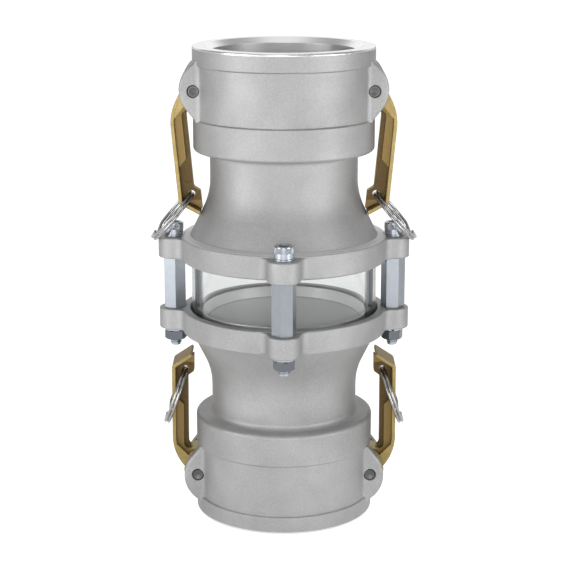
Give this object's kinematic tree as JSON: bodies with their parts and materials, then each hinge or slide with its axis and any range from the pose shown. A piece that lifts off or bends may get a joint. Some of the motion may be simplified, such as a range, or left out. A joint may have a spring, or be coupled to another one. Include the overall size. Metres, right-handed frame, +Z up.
{
  "type": "in-line sight glass with cam-and-groove couplers",
  "caption": "In-line sight glass: a clear tube clamped between cam-and-groove couplers, whose cam arms with pull rings lock it to mating hose adapters.",
  "frame": {"origin": "centre of the lower mouth's rim face, at the bottom of the bounding box", "axes": "+Z up along the pipe from the lower to the upper mouth, cam arms on the +X and -X sides, -Y towards the front tie screw"},
  "size_m": [0.2244, 0.212, 0.4],
  "materials": {
    "cast_aluminium": "sand cast, matt and slightly grainy, with machined mouths and gasket bands",
    "tube_gasket_rubber": "matt black",
    "coupler_gasket_rubber": "matt black",
    "arm_brass": "forged brass, satin",
    "pin_steel": "stainless, turned",
    "ring_steel": "stainless spring wire, bright",
    "clear_tube": "clear and smooth",
    "zinc_steel": "bright zinc plate with a bluish cast"
  },
  "bodies": {
    "housing": {"upper_coupler_body": "cast_aluminium", "upper_tube_gasket": "tube_gasket_rubber", "upper_coupler_gasket": "coupler_gasket_rubber", "upper_left_pivot_pin": "pin_steel", "upper_right_pivot_pin": "pin_steel", "lower_coupler_body": "cast_aluminium", "lower_tube_gasket": "tube_gasket_rubber", "lower_coupler_gasket": "coupler_gasket_rubber", "lower_left_pivot_pin": "pin_steel", "lower_right_pivot_pin": "pin_steel", "sight_tube": "clear_tube", "front_hex_spacer": "zinc_steel", "back_hex_spacer": "zinc_steel", "left_hex_spacer": "zinc_steel", "right_hex_spacer": "zinc_steel", "socket_head_screws": "zinc_steel", "head_washers": "zinc_steel", "spring_washers": "zinc_steel", "hex_nuts": "zinc_steel"},
    "upper_left_arm": {"upper_left_cam_arm": "arm_brass"},
    "upper_left_ring": {"upper_left_pull_ring": "ring_steel"},
    "upper_right_arm": {"upper_right_cam_arm": "arm_brass"},
    "upper_right_ring": {"upper_right_pull_ring": "ring_steel"},
    "lower_left_arm": {"lower_left_cam_arm": "arm_brass"},
    "lower_left_ring": {"lower_left_pull_ring": "ring_steel"},
    "lower_right_arm": {"lower_right_cam_arm": "arm_brass"},
    "lower_right_ring": {"lower_right_pull_ring": "ring_steel"}
  },
  "joints": [
    {"name": "upper_left_arm_pivot", "type": "hinge", "parent": "housing", "child": "upper_left_arm", "pos_m": [-0.0736, 0, 0.3647], "axis": [0, 1, 0], "range_deg": [0, 105]},
    {"name": "upper_left_ring_swing", "type": "hinge", "parent": "upper_left_arm", "child": "upper_left_ring", "pos_m": [-0.0772, 0, 0.27611], "axis": [0, 1, 0], "range_deg": [0, 105]},
    {"name": "upper_right_arm_pivot", "type": "hinge", "parent": "housing", "child": "upper_right_arm", "pos_m": [0.0736, 0, 0.3647], "axis": [0, -1, 0], "range_deg": [0, 105]},
    {"name": "upper_right_ring_swing", "type": "hinge", "parent": "upper_right_arm", "child": "upper_right_ring", "pos_m": [0.0772, 0, 0.27611], "axis": [0, -1, 0], "range_deg": [0, 105]},
    {"name": "lower_left_arm_pivot", "type": "hinge", "parent": "housing", "child": "lower_left_arm", "pos_m": [-0.0736, 0, 0.0353], "axis": [0, -1, 0], "range_deg": [-4.9, 100.1]},
    {"name": "lower_left_ring_swing", "type": "hinge", "parent": "lower_left_arm", "child": "lower_left_ring", "pos_m": [-0.08475, 0, 0.12326], "axis": [0, 1, 0], "range_deg": [0, 115]},
    {"name": "lower_right_arm_pivot", "type": "hinge", "parent": "housing", "child": "lower_right_arm", "pos_m": [0.0736, 0, 0.0353], "axis": [0, 1, 0], "range_deg": [-4.9, 100.1]},
    {"name": "lower_right_ring_swing", "type": "hinge", "parent": "lower_right_arm", "child": "lower_right_ring", "pos_m": [0.08475, 0, 0.12326], "axis": [0, -1, 0], "range_deg": [0, 115]}
  ]
}
